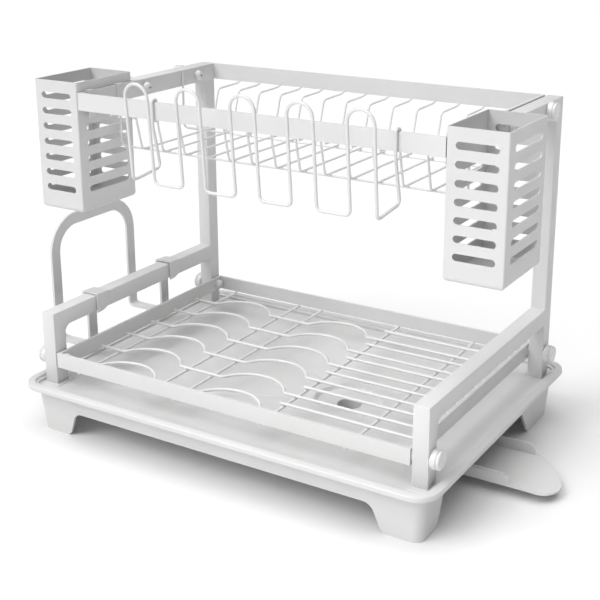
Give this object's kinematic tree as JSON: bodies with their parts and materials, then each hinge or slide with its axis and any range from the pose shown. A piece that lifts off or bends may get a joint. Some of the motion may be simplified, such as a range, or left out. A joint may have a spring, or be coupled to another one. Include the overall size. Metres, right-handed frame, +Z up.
{
  "type": "dish drying rack",
  "caption": "Two-tier dish drying rack: bar frames on tube sides in a footed drip tray with a swivel spout, with hook-on utensil, cup and board holders.",
  "frame": {"origin": "centre of the object's footprint on the surface it stands on", "axes": "+Z up; +X to the right as the user faces it, the way the spout points; +Y to the back"},
  "size_m": [0.5408, 0.3242, 0.3545],
  "materials": {
    "tray_plastic": "satin moulded plastic",
    "spout_plastic": "satin moulded plastic",
    "frame_paint": "fine powder coat",
    "bar_paint": "fine powder coat",
    "wire_coating": "smooth dipped coating",
    "cup_wire_coating": "smooth dipped coating",
    "holder_paint": "fine powder coat",
    "board_holder_paint": "fine powder coat",
    "cap_plastic": "matt moulded plastic",
    "fastener_plastic": "smooth moulded plastic"
  },
  "bodies": {
    "tray": {"drip_tray": "tray_plastic"},
    "spout": {"drain_spout": "spout_plastic"},
    "rack": {"left_front_post": "frame_paint", "left_rail": "frame_paint", "left_back_post": "frame_paint", "left_arm": "frame_paint", "right_front_post": "frame_paint", "right_rail": "frame_paint", "right_back_post": "frame_paint", "right_arm": "frame_paint", "post_foot_caps": "cap_plastic", "arm_end_caps": "cap_plastic", "lower_front_bar": "bar_paint", "lower_back_bar": "bar_paint", "lower_left_bar": "bar_paint", "lower_right_bar": "bar_paint", "upper_front_bar": "bar_paint", "upper_back_bar": "bar_paint", "upper_left_bar": "bar_paint", "upper_right_bar": "bar_paint", "lower_cross_wires": "wire_coating", "plate_wires": "wire_coating", "short_wires": "wire_coating", "basket_ribs": "wire_coating", "basket_runners": "wire_coating", "lower_knob_bolts": "fastener_plastic", "upper_knob_bolts": "fastener_plastic", "lower_dome_nuts": "fastener_plastic", "upper_dome_nuts": "fastener_plastic", "bolt_washers": "fastener_plastic"},
    "left_caddy": {"left_utensil_holder": "holder_paint", "left_holder_hooks": "holder_paint"},
    "right_caddy": {"right_utensil_holder": "holder_paint", "right_holder_hooks": "holder_paint"},
    "cup_loops": {"cup_holder": "cup_wire_coating"},
    "board_stand": {"board_holder": "board_holder_paint", "board_holder_clips": "board_holder_paint"}
  },
  "joints": [
    {"name": "spout_swivel", "type": "hinge", "parent": "tray", "child": "spout", "pos_m": [0.048, 0.0001, 0.015], "axis": [0, 0, 1], "range_deg": [-24, 14]},
    {"name": "rack_lift", "type": "slide", "parent": "tray", "child": "rack", "axis": [0, 0, 1], "range_m": [0, 0.06]},
    {"name": "left_caddy_lift", "type": "slide", "parent": "rack", "child": "left_caddy", "axis": [0, 0, 1], "range_m": [0, 0.035]},
    {"name": "right_caddy_lift", "type": "slide", "parent": "rack", "child": "right_caddy", "axis": [0, 0, 1], "range_m": [0, 0.035]},
    {"name": "cup_loops_lift", "type": "slide", "parent": "rack", "child": "cup_loops", "axis": [0, 0, 1], "range_m": [0, 0.0045]},
    {"name": "board_stand_lift", "type": "slide", "parent": "rack", "child": "board_stand", "axis": [0, 0, 1], "range_m": [0, 0.03]}
  ]
}
